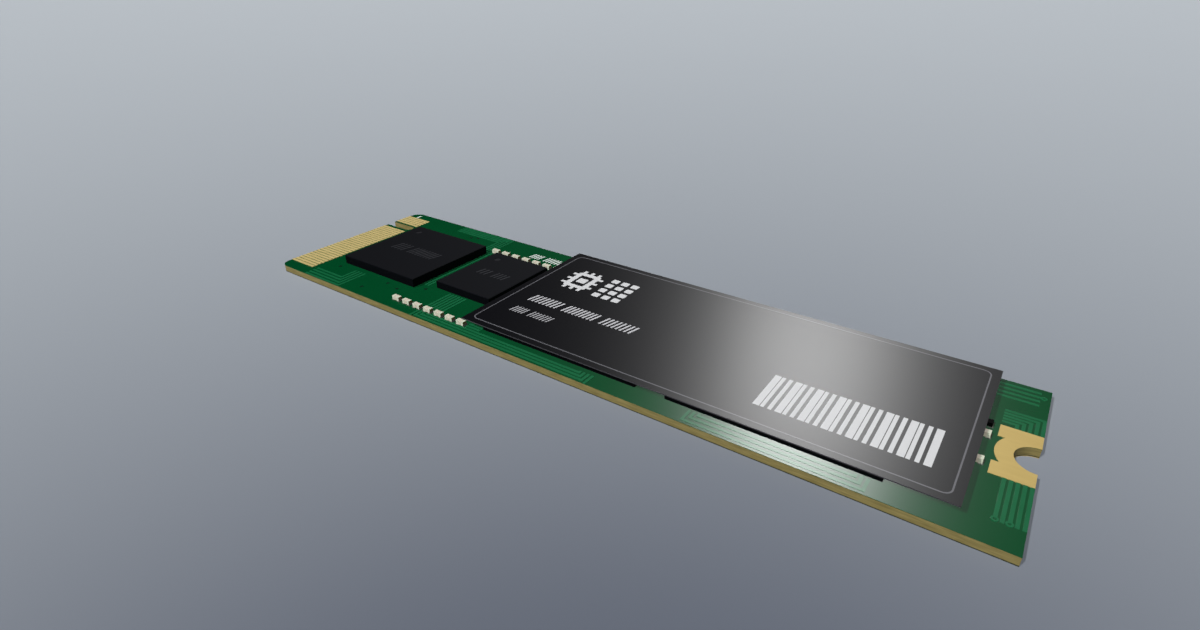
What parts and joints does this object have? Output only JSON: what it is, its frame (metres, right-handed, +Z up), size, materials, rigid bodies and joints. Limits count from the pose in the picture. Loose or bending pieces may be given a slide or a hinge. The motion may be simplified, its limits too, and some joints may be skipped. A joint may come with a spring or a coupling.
{
  "type": "gumstick solid state drive",
  "caption": "Long slim green circuit board with gold edge contacts, black chip packages, a black label over the storage chips and a half round screw notch",
  "frame": {"origin": "under the middle of the board, level with the copper on its underside that it rests on", "axes": "+X runs along the board from the connector edge to the screw notch, +Y from the near edge to the edge beside the key notch, +Z up through the chips"},
  "size_m": [0.08, 0.022, 0.0022],
  "materials": {
    "board_lacquer": "green lacquer on both faces of a tan glass fibre laminate",
    "track_lacquer": "lighter green where the lacquer covers copper",
    "plug_lacquer": "dark green lacquer in the filled holes",
    "gold_plate": "matt gold plating on copper",
    "chip_resin": "fine grained black moulding resin",
    "diode_resin": "black moulding resin",
    "label_film": "black satin film with pale print",
    "capacitor_ceramic": "matt tan ceramic",
    "tinned_ends": "dull pale tin",
    "solder": "grey solder"
  },
  "bodies": {
    "root": {"circuit_board": "board_lacquer", "front_contacts": "gold_plate", "back_contacts": "gold_plate", "front_screw_pad": "gold_plate", "back_screw_pad": "gold_plate", "front_tracks": "track_lacquer", "plated_rings": "track_lacquer", "plated_plugs": "plug_lacquer", "controller_package": "chip_resin", "controller_joints": "solder", "memory_package": "chip_resin", "memory_joints": "solder", "flash_package_1": "chip_resin", "flash_joints_1": "solder", "flash_package_2": "chip_resin", "flash_joints_2": "solder", "label": "label_film", "near_capacitor_1": "capacitor_ceramic", "near_capacitor_1_ends": "tinned_ends", "near_capacitor_2": "capacitor_ceramic", "near_capacitor_2_ends": "tinned_ends", "near_capacitor_3": "capacitor_ceramic", "near_capacitor_3_ends": "tinned_ends", "near_capacitor_4": "capacitor_ceramic", "near_capacitor_4_ends": "tinned_ends", "near_capacitor_5": "capacitor_ceramic", "near_capacitor_5_ends": "tinned_ends", "near_capacitor_6": "capacitor_ceramic", "near_capacitor_6_ends": "tinned_ends", "near_capacitor_7": "capacitor_ceramic", "near_capacitor_7_ends": "tinned_ends", "far_capacitor_1": "capacitor_ceramic", "far_capacitor_1_ends": "tinned_ends", "far_capacitor_2": "capacitor_ceramic", "far_capacitor_2_ends": "tinned_ends", "far_capacitor_3": "capacitor_ceramic", "far_capacitor_3_ends": "tinned_ends", "far_capacitor_4": "capacitor_ceramic", "far_capacitor_4_ends": "tinned_ends", "far_capacitor_5": "capacitor_ceramic", "far_capacitor_5_ends": "tinned_ends", "far_capacitor_6": "capacitor_ceramic", "far_capacitor_6_ends": "tinned_ends", "far_capacitor_7": "capacitor_ceramic", "far_capacitor_7_ends": "tinned_ends", "end_capacitor_1": "capacitor_ceramic", "end_capacitor_1_ends": "tinned_ends", "end_capacitor_2": "capacitor_ceramic", "end_capacitor_2_ends": "tinned_ends", "capacitor_lands": "solder", "diode": "diode_resin", "diode_lands": "solder"}
  },
  "joints": []
}
